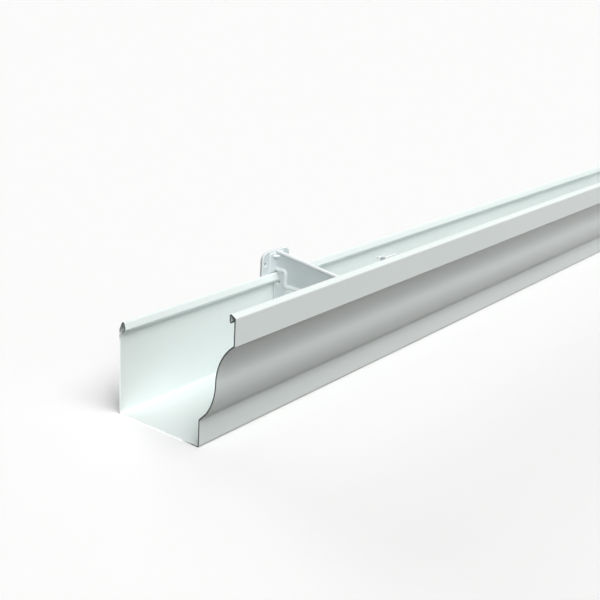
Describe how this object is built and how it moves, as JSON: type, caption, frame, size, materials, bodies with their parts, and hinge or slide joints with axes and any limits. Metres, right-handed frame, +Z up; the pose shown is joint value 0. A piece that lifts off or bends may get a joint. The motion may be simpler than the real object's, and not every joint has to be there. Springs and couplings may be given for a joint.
{
  "type": "gutter section",
  "caption": "Straight length of ogee eaves gutter folded from coated sheet, open at both ends, with a clip-in hanger across its mouth.",
  "frame": {"origin": "middle of the length and width, on the underside of the floor", "axes": "+X along the gutter away from the hanger's end, -Y towards the shaped front, +Y towards the wall, +Z up"},
  "size_m": [2, 0.125, 0.1222],
  "materials": {
    "coated_sheet": "gloss white coating, bare at the cut edges",
    "moulded_white": "smooth moulded, pale grey-white"
  },
  "bodies": {
    "root": {"gutter_channel": "coated_sheet", "hanger_bracket": "moulded_white"}
  },
  "joints": []
}
